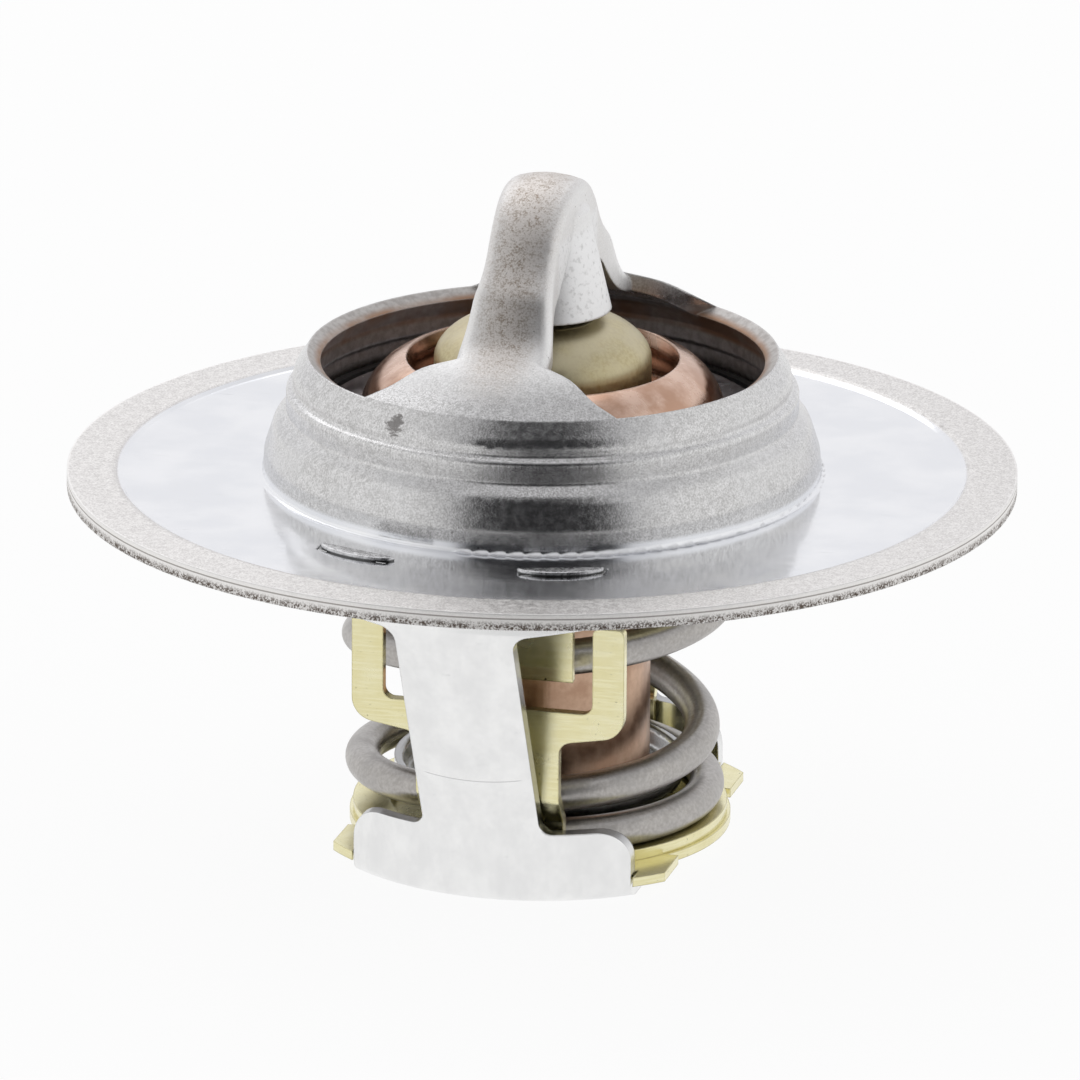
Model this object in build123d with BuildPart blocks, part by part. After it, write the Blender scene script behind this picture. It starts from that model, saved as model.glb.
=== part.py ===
from build123d import *
from math import cos, pi, radians, sin, tan
import os

# Engine thermostat, millimetres. The origin is the centre of the flange rim at mid-thickness,
# +Z runs along the valve axis towards the bridge, and the two legs stand at -Y and +Y.
# Everything is placed as it stands when cold, with the valve closed.

# ---- flange, collar and bridge: one stamped sheet ----
sheet = 0.95
rim_radius = 27.45          # fits a 55 mm housing recess
rim_band = 2.8              # width of the coined band along the rim
band_step = 0.25            # the flat web lies this much below the band
foot_radius = 16.15         # outer skin of the collar where it leaves the web
wall_height = 1.6
shoulder_radius = 15.5      # top of the lower wall
shoulder_height = 3.3
band_radius = 14.8          # cylindrical band above the shoulder
band_base = 4.0
band_top = 5.25
neck_radius = 14.4
lip_base = 6.2
lip_radius = 13.6           # outer skin at the rim of the collar
lip_height = 7.4

# ---- bridge over the collar ----
bridge_height = 17.9        # crown above the mid-plane of the rim
bridge_width = 4.5
crown_radius = 6.2          # of the arch at its top
crown_angle = 56.0          # the arc of the crown reaches down to here on both sides
arch_reach = 7.4
arch_height = 12.5
waist_reach = 8.5           # the arch turns up out of the sloping foot here
waist_height = 10.5
waist_width = 5.4
foot_reach = 11.1
foot_height = 9.05
flare_reach = 10.2          # the foot is this wide here, and widens on towards the rim
flare_width = 8.6
foot_width = 11.9
flare_angle = 33.0          # half-angle of the foot along the rim
side_depth = 2.3            # folded side walls at the crown
bridge_edge = 0.7           # outer radius along both sides of the bridge
nose_height = 10.1          # lower rim of the piston socket
nose_radius = 3.95
neck_of_nose = 2.75         # socket radius under the crown
nose_shoulder = 15.1
nose_crown = 16.0           # the socket's outside runs in under the crown from here

# ---- legs ----
leg_sheet = 0.8
leg_width = 6.9
leg_top_radius = 19.7       # outer skin of the wide head under the flange
head_depth = 2.9            # the head reaches this far below the web at the strip
head_rise = 0.7             # its lower edge rises by this much towards the ends
head_angle = 25.0           # half-angle of the head
stake_angle = 11.5          # each stake runs from here to the end of the head
base_radius = 13.5          # outer skin of the base band
base_top = -17.4
base_half_width = 8.25
base_bottom = -21.7         # the part stands on this level
hem_reach = 1.5             # the curled hem reaches this far in below the lower plate

# ---- lower plate and latch cage ----
plate_sheet = 0.55
ear_half_width = 9.9
ear_start = 6.1
cage_sheet = 0.65
fork_room = 1.05            # between the foot of a fork and the base band
fork_half_width = 8.0
prong_width = 1.85
prong_tip = -4.8
window_floor = -10.0
bar_depth = 1.9             # at the stem
bar_rise = 0.65             # the lower edge of the bar rises by this much towards its ends
stem_width = 8.4
cage_turn = 1.3             # the latch cage and the latch plate stand turned by this angle
joggle = 1.2                # the fork steps out by this much above its foot
joggle_drop = 1.6

# ---- spring ----
wire = 2.05
coil_flare = 0.52           # the top coil is wider by this much
spring_turns = 2.95
end_flat = 0.36             # turns that lie flat at each end
closing_pitch = 3.78
open_pitch = 11.7
open_start = 1.28           # turns from the lower end of the wire
open_end = 1.87
settling_pitch = 3.9
wire_end_angle = -80.0      # direction of the lower wire end, from +X
sway = 0.5                  # the open turn bows out sideways by this much
sway_angle = 195.0
sway_turns = 2.1

# ---- valve ----
lift = 6.5                  # travel from closed to fully open
disc_sheet = 0.8
disc_top = 3.7
disc_floor_radius = 13.0
disc_radius = 14.2
disc_drop = 0.8
hub_wall = 0.8
hub_bulge = 10.6
hub_mouth = 7.9
hub_top = 7.1
hub_radius = 9.9
hub_bow = (9.9, 5.65)       # a point on the outer bow between bulge and mouth
bow_lean = 40               # direction of the wall's thickness at that point, above the level
mouth_lean = 70             # and at the mouth
hub_pinch = 0.4             # the hub grips the flanges this far in
cap_radius = 6.28
cap_shoulder = 7.0
cap_dome = 3.0
cap_sheet = 0.8
cap_flange_top = 2.6
inner_flange = 9.0          # flanges of the cap and the wax cup inside the hub
cup_radius = 6.36
cup_sheet = 0.8
cup_floor = -20.4
piston_radius = 1.8
piston_foot = -13.9
boot_radius = 3.2
latch_sheet = 0.5
tab_half_width = 4.8
tab_fold = -7.6
tab_end = -8.4
tab_lean = 0.1              # the end of a tab leans in by this much
guide_length = 1.9          # the cap guides the piston over this height
piston_seal_height = 1.0
boot_sole = 1.0             # rubber below the piston
piston_chamfer = 0.3

# ---- guide cup in the lower plate ----
dish_room = 0.35            # between the dish and the lowest coil
dish_slope = 0.2
dish_rim = -17.1
dish_depth = 1.1
dish_sheet = 0.5

# ---- clearances ----
running_gap = 0.06          # piston, wax cup and valve seal
side_gap = 0.1              # tabs in the forks, stakes in their slots, coils beside the forks
end_gap = 0.3               # below the tabs when fully open
socket_gap = 0.02           # above the piston in its socket
bend = 0.25                 # inner radius of every bend

# ---- levels and radii that follow ----
rim_top = sheet / 2
web_top = rim_top - band_step
web_bottom = web_top - sheet
hem_top = base_bottom + leg_sheet
plate_top = hem_top + plate_sheet
cage_top = plate_top + cage_sheet
seat_radius = base_radius - leg_sheet
fork_foot = seat_radius - fork_room - cage_sheet
fork_face = fork_foot + joggle
joggle_top = tab_end - lift - end_gap
joggle_bottom = joggle_top - joggle_drop
coil_radius = fork_foot - side_gap - wire / 2
dish_radius = coil_radius - wire / 2 - dish_room
plate_radius = fork_foot + side_gap
ring_outer = coil_radius + wire / 2
ring_inner = coil_radius - wire / 2 - side_gap
guide_radius = cup_radius + running_gap
disc_hole = hub_radius + running_gap
disc_rim_top = disc_top - disc_drop
tab_face = fork_face - side_gap
socket_radius = piston_radius + running_gap
piston_top = bridge_height - sheet - socket_gap


def parallel(points, wall):
    """The mitred line that runs a wall away from a line of points, on its left."""
    normals = []
    for start, end in zip(points, points[1:]):
        along = Vector(*end) - Vector(*start)
        normals.append(Vector(-along.Y, along.X).normalized())
    normals = [normals[0], *normals, normals[-1]]
    shifted = []
    for point, before, after in zip(points, normals, normals[1:]):
        mitre = (before + after) * (wall / (1 + before.dot(after)))
        shifted.append((point[0] + mitre.X, point[1] + mitre.Y))
    return shifted


def bend_radii(points, wall):
    """Radii of the first and second skin at each bend of a sheet."""
    first = []
    second = []
    for a, b, c in zip(points, points[1:], points[2:]):
        turn = (b[0] - a[0]) * (c[1] - b[1]) - (b[1] - a[1]) * (c[0] - b[0])
        first_is_inside = turn * wall < 0
        first.append(bend if first_is_inside else bend + abs(wall))
        second.append(bend + abs(wall) if first_is_inside else bend)
    return first, second


def rounded_line(points, radii):
    """Straight runs joined by tangent arcs; an arc is limited by the runs beside it."""
    last = Vector(*points[0])
    for before, corner, after, radius in zip(points, points[1:], points[2:], radii):
        corner = Vector(*corner)
        run_in = corner - Vector(*before)
        run_out = Vector(*after) - corner
        half_turn = radians(run_in.get_angle(run_out)) / 2
        reach = min(radius * tan(half_turn), 0.45 * run_in.length, 0.45 * run_out.length)
        arc_start = corner - run_in.normalized() * reach
        Line(last, arc_start)
        last = arc_start
        if reach > 0.001:
            last = corner + run_out.normalized() * reach
            TangentArc(arc_start, last, tangent=run_in)
    Line(last, points[-1])


def bent_sheet(points, wall, plane=Plane.XZ):
    """Section of bent sheet: its first skin follows the points, its second lies on their left."""
    first_radii, second_radii = bend_radii(points, wall)
    others = parallel(points, wall)
    with BuildSketch(plane) as section:
        with BuildLine():
            rounded_line(points, first_radii)
            rounded_line(others, second_radii)
            Line(points[0], others[0])
            Line(points[-1], others[-1])
        make_face()
    return section.sketch


def mirrored_outline(points, radii):
    """A face symmetric about the sketch's vertical axis, from the corners of its right half."""
    with BuildSketch(Plane.XZ) as outline:
        with BuildLine():
            rounded_line(points, radii)
            Line(points[-1], points[0])
        make_face()
        mirror(about=Plane.YZ)
    return outline.sketch


# ---- flange, collar and bridge ----
collar_skin = [
    (rim_radius, rim_top),
    (rim_radius - rim_band, rim_top),
    (rim_radius - rim_band - 0.4, web_top),
    (foot_radius, web_top),
    (foot_radius - 0.1, wall_height),
    (shoulder_radius, shoulder_height),
    (band_radius, band_base),
    (band_radius, band_top),
    (neck_radius, band_top + 0.2),
    (neck_radius, lip_base),
    (lip_radius, lip_height),
]
crown_centre = bridge_height - crown_radius


def on_crown(depth, angle):
    """The point of the crown that lies a depth below its skin, at an angle from its top."""
    reach = crown_radius - depth
    return (reach * sin(radians(angle)), crown_centre + reach * cos(radians(angle)))


bridge_skin = [
    (neck_radius, lip_base),
    (lip_radius, lip_height),
    (foot_reach, foot_height),
    (waist_reach, waist_height),
    (arch_reach, arch_height),
    on_crown(0, crown_angle),
]


def sunk(depths):
    """The skin of the bridge, sunk at each of its points by a depth of its own."""
    unit = parallel(bridge_skin, 1)
    lower = []
    for point, below, depth in zip(bridge_skin, unit, depths):
        across = Vector(*below) - Vector(*point)
        lower.append(tuple(Vector(*point) + across * depth)[:2])
    lower[-1] = on_crown(depths[-1], crown_angle)
    return lower


def bell(upper_depths, lower_depths):
    """Solid of revolution between two depths of the bridge, from the collar's neck to its crown."""
    slope = (-cos(radians(crown_angle)), sin(radians(crown_angle)))
    with BuildPart() as body:
        with BuildSketch(Plane.XZ):
            with BuildLine():
                for depths in (upper_depths, lower_depths):
                    points = sunk(depths)
                    Spline(*points, tangents=[(0, 1), slope])
                    ThreePointArc(
                        points[-1],
                        on_crown(depths[-1], crown_angle / 2),
                        on_crown(depths[-1], 0),
                    )
                Line(sunk(upper_depths)[0], sunk(lower_depths)[0])
                Line(on_crown(upper_depths[-1], 0), on_crown(lower_depths[-1], 0))
            make_face()
        revolve(axis=Axis.Z)
    return body.part


def plan(edge, tangents, end):
    """A face seen from above, between side edges that run on straight to an end at -Y and +Y."""
    with BuildSketch() as face:
        with BuildLine():
            side = Spline(*edge, tangents=tangents)
            Polyline(side @ 1, (edge[-1][0], end), (0, end), (0, edge[0][1]), side @ 0)
        make_face()
        mirror(about=Plane.XZ)
        mirror(about=Plane.YZ)
    return face.sketch


def arch_plan(inset):
    """The narrow bridge from above, drawn in from its sides by an inset."""
    edge = [
        (bridge_width / 2 - inset, 0),
        (bridge_width / 2 - inset, crown_radius),
        (waist_width / 2 - inset, waist_reach),
    ]
    return plan(edge, [(0, 1), (0, 1)], foot_reach)


def foot_plan():
    """The feet from above: they spread out of the bridge's sides towards the rim."""
    edge = [
        (waist_width / 2 - 2 * bridge_edge, waist_reach),
        (flare_width / 2, flare_reach),
        (foot_width / 2, foot_reach),
        (lip_radius * sin(radians(flare_angle)), lip_radius * cos(radians(flare_angle))),
    ]
    return plan(edge, [(0.3, 1), (1, 0.25)], neck_radius)


skin_depths = [0] * len(bridge_skin)
sheet_depths = [sheet] * len(bridge_skin)
side_depths = [sheet, sheet, sheet, 0.6 * side_depth, 0.85 * side_depth, side_depth]
hollow_depths = [depth + sheet for depth in side_depths]

with BuildPart() as bridge_hollow:
    add(bell(sheet_depths, hollow_depths))
    extrude(arch_plan(sheet), amount=bridge_height, mode=Mode.INTERSECT)

with BuildPart() as arch:
    add(bell(skin_depths, side_depths))
    extrude(arch_plan(0), amount=bridge_height + sheet, mode=Mode.INTERSECT)
    crown_start = bridge_skin[-1][1] - running_gap
    sides = arch.edges().filter_by(GeomType.BSPLINE)
    fillet(sides.filter_by(lambda side: side.bounding_box().max.Z > crown_start), bridge_edge)

with BuildSketch() as foot_field:
    add(foot_plan())
    Circle(lip_radius, mode=Mode.INTERSECT)

with BuildPart() as feet:
    add(bell(skin_depths, sheet_depths))
    extrude(foot_field.sketch, amount=bridge_height + sheet, mode=Mode.INTERSECT)

with BuildSketch() as stake_fields:
    stake_start = leg_top_radius * sin(radians(stake_angle)) - side_gap
    stake_end = leg_top_radius * sin(radians(head_angle)) + side_gap
    with Locations(((stake_start + stake_end) / 2, 0), (-(stake_start + stake_end) / 2, 0)):
        Rectangle(stake_end - stake_start, 2 * rim_radius)

with BuildPart() as stake_slots:
    with BuildSketch(Plane.XY.offset(web_bottom)):
        Circle(leg_top_radius + side_gap)
        Circle(leg_top_radius - leg_sheet - side_gap, mode=Mode.SUBTRACT)
        add(stake_fields.sketch, mode=Mode.INTERSECT)
    extrude(amount=sheet)

with BuildPart() as flange_bridge:
    add(arch.part)
    add(bridge_hollow.part, mode=Mode.SUBTRACT)
    add(feet.part)
    add(bent_sheet(collar_skin, sheet))
    with BuildSketch(Plane.XZ):
        Polygon(
            (nose_radius, nose_height),
            (neck_of_nose, nose_shoulder),
            (neck_of_nose - side_gap, nose_crown),
            (socket_radius, piston_top),
            (socket_radius, nose_shoulder),
            (nose_radius - sheet, nose_height),
            align=None,
        )
    revolve(axis=Axis.Z)
    with BuildSketch(Plane.XY.offset(nose_height)):
        Circle(socket_radius)
    extrude(amount=bridge_height - sheet - nose_height, mode=Mode.SUBTRACT)
    add(stake_slots.part, mode=Mode.SUBTRACT)
flange_bridge.part.label = "flange_bridge"

# ---- legs, staked through the flange and hemmed under the lower plate ----
leg_skin = [
    (leg_top_radius, web_top),
    (leg_top_radius, web_bottom - head_depth),
    (base_radius, base_top + 0.3),
    (base_radius, base_bottom),
    (seat_radius - hem_reach, base_bottom),
]
head_half_width = leg_top_radius * sin(radians(head_angle))
leg_outline = [
    (0, base_bottom),
    (base_half_width, base_bottom),
    (base_half_width, base_top),
    (leg_width / 2, base_top),
    (leg_width / 2, web_bottom - head_depth),
    (head_half_width, web_bottom - head_depth + head_rise),
    (head_half_width, web_top),
    (leg_top_radius * sin(radians(stake_angle)), web_top),
    (leg_top_radius * sin(radians(stake_angle)), web_bottom),
    (0, web_bottom),
]
leg_corners = [0, 2.2, 0.7, 1.0, 0.8, 0, 0, 0]

with BuildPart() as front_leg:
    add(bent_sheet(leg_skin, -leg_sheet))
    revolve(axis=Axis.Z)
    extrude(mirrored_outline(leg_outline, leg_corners), amount=leg_top_radius + 1, mode=Mode.INTERSECT)
front_leg.part.label = "front_leg"

with BuildPart() as rear_leg:
    mirror(front_leg.part, about=Plane.XZ)
rear_leg.part.label = "rear_leg"

# ---- lower plate: a flat ring whose four ears clear the ends of the base bands ----
ear_inner = base_half_width + side_gap
with BuildPart() as lower_plate:
    with BuildSketch(Plane.XY.offset(hem_top)):
        Circle(base_radius)
        with BuildSketch(mode=Mode.PRIVATE) as ear_field:
            Rectangle(2 * ear_half_width, 2 * base_radius)
            Rectangle(2 * ear_half_width, 2 * ear_start, mode=Mode.SUBTRACT)
        add(ear_field.sketch, mode=Mode.INTERSECT)
        with BuildSketch(mode=Mode.PRIVATE) as band_room:
            Circle(base_radius + leg_sheet)
            Circle(seat_radius - bend, mode=Mode.SUBTRACT)
            Rectangle(2 * ear_inner, 2 * (base_radius + leg_sheet), mode=Mode.INTERSECT)
        add(band_room.sketch, mode=Mode.SUBTRACT)
        Circle(plate_radius)
        Circle(guide_radius + dish_sheet / 2, mode=Mode.SUBTRACT)
    extrude(amount=plate_sheet)
lower_plate.part.label = "lower_plate"

# ---- latch cage: the spring's seat ring with a fork standing up on each side ----
fork_side = [
    (fork_face, prong_tip),
    (fork_face, joggle_top),
    (fork_face - joggle, joggle_bottom),
    (fork_face - joggle, cage_top),
    (coil_radius, cage_top),
]
fork_outline = [
    (0, plate_top),
    (stem_width / 2, plate_top),
    (stem_width / 2, window_floor - bar_depth),
    (fork_half_width, window_floor - bar_depth + bar_rise),
    (fork_half_width, prong_tip),
    (fork_half_width - prong_width, prong_tip),
    (fork_half_width - prong_width, window_floor),
    (0, window_floor),
]
fork_corners = [0, 0.8, 1.4, 0.4, 0.4, 0.6]

with BuildPart() as fork:
    extrude(bent_sheet(fork_side, cage_sheet, Plane.YZ.offset(-base_radius)), amount=2 * base_radius)
    extrude(mirrored_outline(fork_outline, fork_corners), amount=-base_radius, mode=Mode.INTERSECT)

with BuildPart() as latch_cage:
    with BuildSketch(Plane.XY.offset(plate_top)):
        Circle(ring_outer)
        Circle(ring_inner, mode=Mode.SUBTRACT)
    extrude(amount=cage_sheet)
    with PolarLocations(0, 2, start_angle=cage_turn):
        add(fork.part)
latch_cage.part.label = "latch_cage"

# ---- guide cup: a shallow dish whose collar guides the wax cup ----
dish_skin = [
    (dish_radius, dish_rim),
    (dish_radius - dish_sheet, dish_rim),
    (dish_radius - dish_sheet - dish_slope, dish_rim - dish_depth),
    (guide_radius, dish_rim - dish_depth),
    (guide_radius, plate_top),
]
with BuildPart() as guide_cup:
    add(bent_sheet(dish_skin, dish_sheet))
    revolve(axis=Axis.Z)
guide_cup.part.label = "guide_cup"

# ---- piston: it stands in the nose of the bridge ----
with BuildPart() as piston:
    with BuildSketch(Plane.XY.offset(piston_foot)):
        Circle(piston_radius)
    extrude(amount=piston_top - piston_foot)
    chamfer(piston.edges(), length=piston_chamfer)
piston.part.label = "piston"


# ---- main spring: flat end coils and a steep open turn between them ----
def pitch_at(turn):
    """Rise of the wire per turn, at a number of turns from its lower end."""
    if turn < end_flat:
        return 0
    if turn < open_start:
        return closing_pitch
    if turn < open_end:
        return open_pitch
    if turn < spring_turns - end_flat:
        return settling_pitch
    return 0


coil_steps = 24             # points per turn
wire_path = []
height = cage_top + wire / 2
for step in range(round(spring_turns * coil_steps) + 1):
    turn = step / coil_steps
    opened = min(max((turn - open_start) / (open_end - open_start), 0), 1)
    radius = coil_radius + coil_flare * opened
    angle = radians(wire_end_angle + 360 * turn)
    bow = sway * max(sin(pi * turn / sway_turns), 0)
    x = radius * cos(angle) + bow * cos(radians(sway_angle))
    y = radius * sin(angle) + bow * sin(radians(sway_angle))
    wire_path.append((x, y, height))
    rises = [pitch_at(turn + share / coil_steps) for share in (-1.5, -0.5, 0.5, 1.5, 2.5)]
    height += sum(rises) / len(rises) / coil_steps
latch_bottom = height + wire / 2 + running_gap
latch_top = latch_bottom + latch_sheet

with BuildPart() as main_spring:
    with BuildLine():
        wire_line = Spline(*wire_path)
    with BuildSketch(Plane(wire_line @ 0, z_dir=wire_line % 0)):
        Circle(wire / 2)
    sweep(path=wire_line)
main_spring.part.label = "main_spring"

# ---- valve disc with its skirt, and the rubber seal on its rim ----
disc_skin = [
    (disc_radius, disc_rim_top),
    (disc_floor_radius, disc_rim_top),
    (disc_floor_radius, disc_top),
    (disc_hole, disc_top),
    (disc_hole, latch_top),
]
with BuildPart() as valve_disc:
    add(bent_sheet(disc_skin, disc_sheet))
    revolve(axis=Axis.Z)
valve_disc.part.label = "valve_disc"

collar_inside = parallel(collar_skin, sheet)
seat_low = collar_inside[5]
seat_high = collar_inside[6]
seal_outer = disc_radius - side_gap
seal_top_radius = seat_high[0] - side_gap
seal_drop = 2**0.5 * running_gap


def seat_level(radius):
    """Height of the seat inside the collar's shoulder at a radius."""
    share = (seat_low[0] - radius) / (seat_low[0] - seat_high[0])
    return seat_low[1] + share * (seat_high[1] - seat_low[1])


with BuildPart() as valve_seal:
    with BuildSketch(Plane.XZ):
        Polygon(
            (disc_floor_radius + bend, disc_rim_top),
            (seal_outer, disc_rim_top),
            (seal_outer, seat_level(seal_outer) - seal_drop),
            (seal_top_radius, seat_level(seal_top_radius) - seal_drop),
            (disc_floor_radius + bend, seat_level(seal_top_radius) - seal_drop),
            align=None,
        )
    revolve(axis=Axis.Z)
valve_seal.part.label = "valve_seal"

# ---- copper hub: it grips the flanges of the cap and the wax cup ----
cap_flange_bottom = cap_flange_top - cap_sheet
cup_flange_bottom = cap_flange_bottom - cup_sheet
hub_inside = hub_radius - hub_wall


def inside_hub(point, lean):
    """The point across the hub's wall from a point on its outer skin."""
    return (point[0] - hub_wall * cos(radians(lean)), point[1] - hub_wall * sin(radians(lean)))


with BuildPart() as valve_hub:
    with BuildSketch(Plane.XZ):
        with BuildLine():
            outer_bow = ThreePointArc((hub_mouth, hub_top), hub_bow, (hub_bulge, disc_top))
            Polyline(
                outer_bow @ 1,
                (hub_radius, disc_top),
                (hub_radius, cup_flange_bottom - hub_wall),
                (cup_radius + hub_wall, cup_flange_bottom - hub_wall),
                (cup_radius + hub_wall, cup_flange_bottom),
                (hub_inside, cup_flange_bottom),
                (hub_inside, cap_flange_top),
                (inner_flange - hub_pinch, cap_flange_top),
                (inner_flange - hub_pinch, disc_top - hub_pinch),
                inside_hub((hub_bulge, disc_top), 0),
            )
            inner_bow = ThreePointArc(
                inside_hub((hub_bulge, disc_top), 0),
                inside_hub(hub_bow, bow_lean),
                inside_hub((hub_mouth, hub_top), mouth_lean),
            )
            Line(inner_bow @ 1, outer_bow @ 0)
        make_face()
    revolve(axis=Axis.Z)
valve_hub.part.label = "valve_hub"

# ---- wax cup with its charge, rubber boot and brass guide cap ----
cup_skin = [
    (inner_flange, cup_flange_bottom),
    (cup_radius, cup_flange_bottom),
    (cup_radius, cup_floor),
    (0, cup_floor),
]
with BuildPart() as wax_cup:
    add(bent_sheet(cup_skin, -cup_sheet))
    revolve(axis=Axis.Z)
wax_cup.part.label = "wax_cup"

cup_inside = cup_radius - cup_sheet - running_gap
cap_inside = cap_radius - cap_sheet
boot_floor = piston_foot - boot_sole
with BuildPart() as boot:
    with BuildSketch(Plane.XZ):
        Polygon(
            (0, boot_floor),
            (boot_radius, boot_floor),
            (boot_radius, cap_flange_bottom),
            (cap_inside - running_gap, cap_flange_bottom),
            (cap_inside - running_gap, cap_flange_top),
            (socket_radius, cap_flange_top),
            (socket_radius, piston_foot - running_gap),
            (0, piston_foot - running_gap),
            align=None,
        )
    revolve(axis=Axis.Z)
boot.part.label = "boot"

wax_bottom = cup_floor + cup_sheet + running_gap
with BuildPart() as wax_charge:
    with BuildSketch(Plane.XZ):
        Polygon(
            (0, wax_bottom),
            (cup_inside - bend, wax_bottom),
            (cup_inside, wax_bottom + bend),
            (cup_inside, cap_flange_bottom - running_gap),
            (boot_radius + running_gap, cap_flange_bottom - running_gap),
            (boot_radius + running_gap, boot_floor - running_gap),
            (0, boot_floor - running_gap),
            align=None,
        )
    revolve(axis=Axis.Z)
wax_charge.part.label = "wax_charge"

vault_height = cap_dome - cap_sheet
with BuildPart() as guide_cap:
    with BuildSketch(Plane.XZ):
        with BuildLine():
            dome = EllipticalCenterArc((0, cap_shoulder), cap_radius, cap_dome, start_angle=0, arc_size=90)
            Polyline(
                dome @ 0,
                (cap_radius, cap_flange_top),
                (inner_flange, cap_flange_top),
                (inner_flange, cap_flange_bottom),
                (0, cap_flange_bottom),
                dome @ 1,
            )
        make_face()
    revolve(axis=Axis.Z)
    with BuildSketch(Plane.XZ):
        with BuildLine():
            vault = EllipticalCenterArc((0, cap_shoulder), cap_inside, vault_height, arc_size=90)
            Polyline(vault @ 0, (cap_inside, cap_flange_bottom), (0, cap_flange_bottom), vault @ 1)
        make_face()
    revolve(axis=Axis.Z, mode=Mode.SUBTRACT)
    with BuildSketch(Plane.XY.offset(cap_shoulder + cap_dome - cap_sheet / 2)):
        Circle(boot_radius)
    extrude(amount=-guide_length)
    with BuildSketch(Plane.XY):
        Circle(socket_radius)
    extrude(amount=cap_shoulder + 2 * cap_dome, mode=Mode.SUBTRACT)
guide_cap.part.label = "guide_cap"

seal_base = cap_shoulder + cap_dome - cap_sheet / 2 - guide_length
with BuildPart() as piston_seal:
    with BuildSketch(Plane.XY.offset(seal_base)):
        Circle(boot_radius)
        Circle(socket_radius, mode=Mode.SUBTRACT)
    extrude(amount=-piston_seal_height)
piston_seal.part.label = "piston_seal"

# ---- latch plate: the spring's upper seat, with a tab hanging inside each fork ----
tab_side = [
    (coil_radius, latch_bottom),
    (tab_face - latch_sheet, latch_bottom),
    (tab_face - latch_sheet, tab_fold),
    (tab_face - latch_sheet - tab_lean, tab_end),
]
with BuildPart() as tab:
    extrude(bent_sheet(tab_side, latch_sheet, Plane.YZ.offset(-tab_half_width)), amount=2 * tab_half_width)

with BuildPart() as latch_plate:
    with BuildSketch(Plane.XY.offset(latch_bottom)):
        Circle(tab_face - latch_sheet / 2)
        Circle(ring_inner, mode=Mode.SUBTRACT)
    extrude(amount=latch_sheet)
    with PolarLocations(0, 2, start_angle=cage_turn):
        add(tab.part)
latch_plate.part.label = "latch_plate"

pieces = [
    flange_bridge,
    front_leg,
    rear_leg,
    lower_plate,
    latch_cage,
    guide_cup,
    piston,
    main_spring,
    valve_disc,
    valve_seal,
    valve_hub,
    wax_cup,
    boot,
    wax_charge,
    guide_cap,
    piston_seal,
    latch_plate,
]
os.makedirs("parts", exist_ok=True)
for piece in pieces:
    export_step(piece.part, f"parts/{piece.part.label}.step")
    print(piece.part.label, len(piece.part.solids()), round(piece.part.volume, 1))
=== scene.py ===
# %% [markdown]
# # An engine thermostat
# A thermostat is a small valve that the coolant's own heat opens. Its flange, collar and
# bridge are one steel stamping, two legs hang below it, and between them a wax cup pushes
# a valve against a spring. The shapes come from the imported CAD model, so this lesson is
# mostly about how to light and finish bare metal.

# %% Load the model
import math

import bpy
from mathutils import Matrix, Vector


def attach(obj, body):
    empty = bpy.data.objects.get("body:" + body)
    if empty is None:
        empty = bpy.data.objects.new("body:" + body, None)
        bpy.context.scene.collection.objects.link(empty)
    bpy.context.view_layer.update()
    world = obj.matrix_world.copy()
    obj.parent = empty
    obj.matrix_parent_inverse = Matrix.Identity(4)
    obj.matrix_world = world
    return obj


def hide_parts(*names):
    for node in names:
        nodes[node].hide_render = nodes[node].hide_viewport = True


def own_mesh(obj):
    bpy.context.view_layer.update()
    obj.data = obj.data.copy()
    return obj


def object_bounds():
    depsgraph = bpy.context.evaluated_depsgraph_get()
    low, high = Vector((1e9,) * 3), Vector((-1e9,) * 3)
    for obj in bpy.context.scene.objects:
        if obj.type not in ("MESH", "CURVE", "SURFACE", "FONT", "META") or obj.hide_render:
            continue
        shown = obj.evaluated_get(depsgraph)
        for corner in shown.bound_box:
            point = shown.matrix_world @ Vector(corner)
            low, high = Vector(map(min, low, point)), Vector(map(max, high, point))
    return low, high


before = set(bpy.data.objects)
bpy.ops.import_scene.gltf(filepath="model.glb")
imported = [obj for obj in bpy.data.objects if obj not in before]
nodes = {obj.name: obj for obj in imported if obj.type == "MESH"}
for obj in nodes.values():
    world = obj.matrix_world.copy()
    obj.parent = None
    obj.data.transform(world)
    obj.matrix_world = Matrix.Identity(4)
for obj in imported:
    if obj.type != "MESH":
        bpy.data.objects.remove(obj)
cad_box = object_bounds()
scene = bpy.context.scene
print(len(nodes), "pieces in a box of", [round(1000 * (b - a), 1) for a, b in zip(*cad_box)], "mm")

# %% [markdown]
# ## The camera
# A long lens from 0.7 m away flattens the perspective, which shows a small part's
# proportions truly. The camera is placed by its azimuth and elevation around the flange, and
# aimed a few millimetres below it, so that the whole part sits in the frame.

# %% Camera
distance = 0.7
azimuth = math.radians(15)
elevation = math.radians(17.93)
roll = math.radians(-0.344)
aim_right = -0.000099
aim_up = -0.00429
rim_top = 0.000475

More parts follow.
